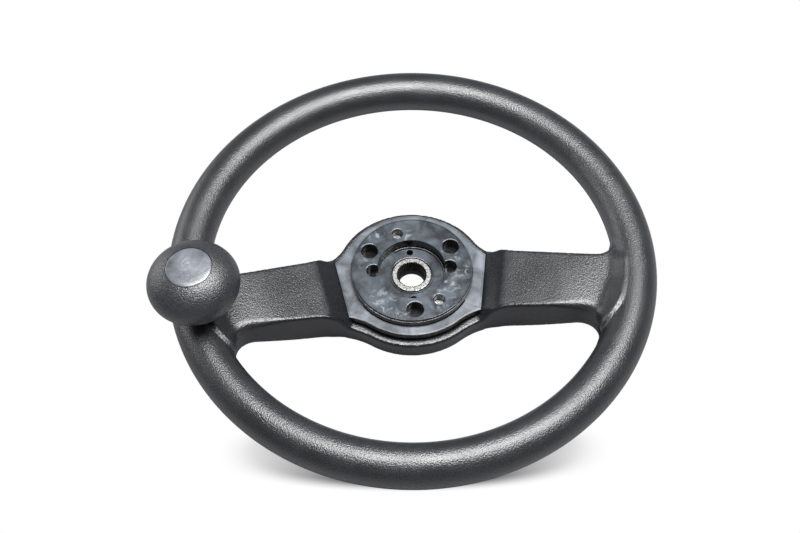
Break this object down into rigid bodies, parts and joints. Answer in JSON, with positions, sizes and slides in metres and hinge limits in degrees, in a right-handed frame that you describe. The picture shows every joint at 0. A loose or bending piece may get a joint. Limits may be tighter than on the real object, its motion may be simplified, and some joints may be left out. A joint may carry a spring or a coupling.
{
  "type": "steering wheel",
  "caption": "Two-spoke steering wheel with dished hub, serrated steel sleeve, open cover seat with sockets, and an oval spinner knob that turns on a stud at the end of the left spoke.",
  "frame": {"origin": "centre of the column bore at the back end of the steel hub sleeve", "axes": "+Z along the bore towards the driver, +Y to the top of the wheel, spokes to -X and +X"},
  "size_m": [0.3649, 0.36, 0.1041],
  "materials": {
    "grained_skin": "fine moulded grain, satin",
    "raw_steel": "plain mild steel",
    "turned_steel": "turned, slightly stained",
    "smooth_black": "smooth semi-gloss with scuffs",
    "spring_steel": "dark oiled spring steel",
    "zinc_steel": "zinc plated",
    "nylon": "natural nylon",
    "knob_black": "fine moulded grain",
    "bronze": "sintered bronze",
    "cap_black": "smooth, satin gloss"
  },
  "bodies": {
    "wheel": {"rim_skin": "grained_skin", "armature_ring": "raw_steel", "spoke_bar_left": "raw_steel", "spoke_bar_right": "raw_steel", "hub_flange": "raw_steel", "hub_sleeve": "turned_steel", "hub_tray": "smooth_black", "hub_disc": "smooth_black", "snap_ring": "spring_steel", "disc_screws": "zinc_steel", "knob_lug": "raw_steel", "knob_lock_washer": "zinc_steel", "knob_collar": "zinc_steel", "knob_stud": "zinc_steel", "knob_thrust_washer": "nylon", "knob_top_washer": "zinc_steel", "knob_circlip": "spring_steel"},
    "knob": {"knob_shell": "knob_black", "knob_bush_lower": "bronze", "knob_bush_upper": "bronze", "knob_cap": "cap_black"}
  },
  "joints": [
    {"name": "knob_spin", "type": "hinge", "parent": "wheel", "child": "knob", "pos_m": [-0.15291, -0.03647, 0.0795], "axis": [0, 0, 1], "continuous": true}
  ]
}
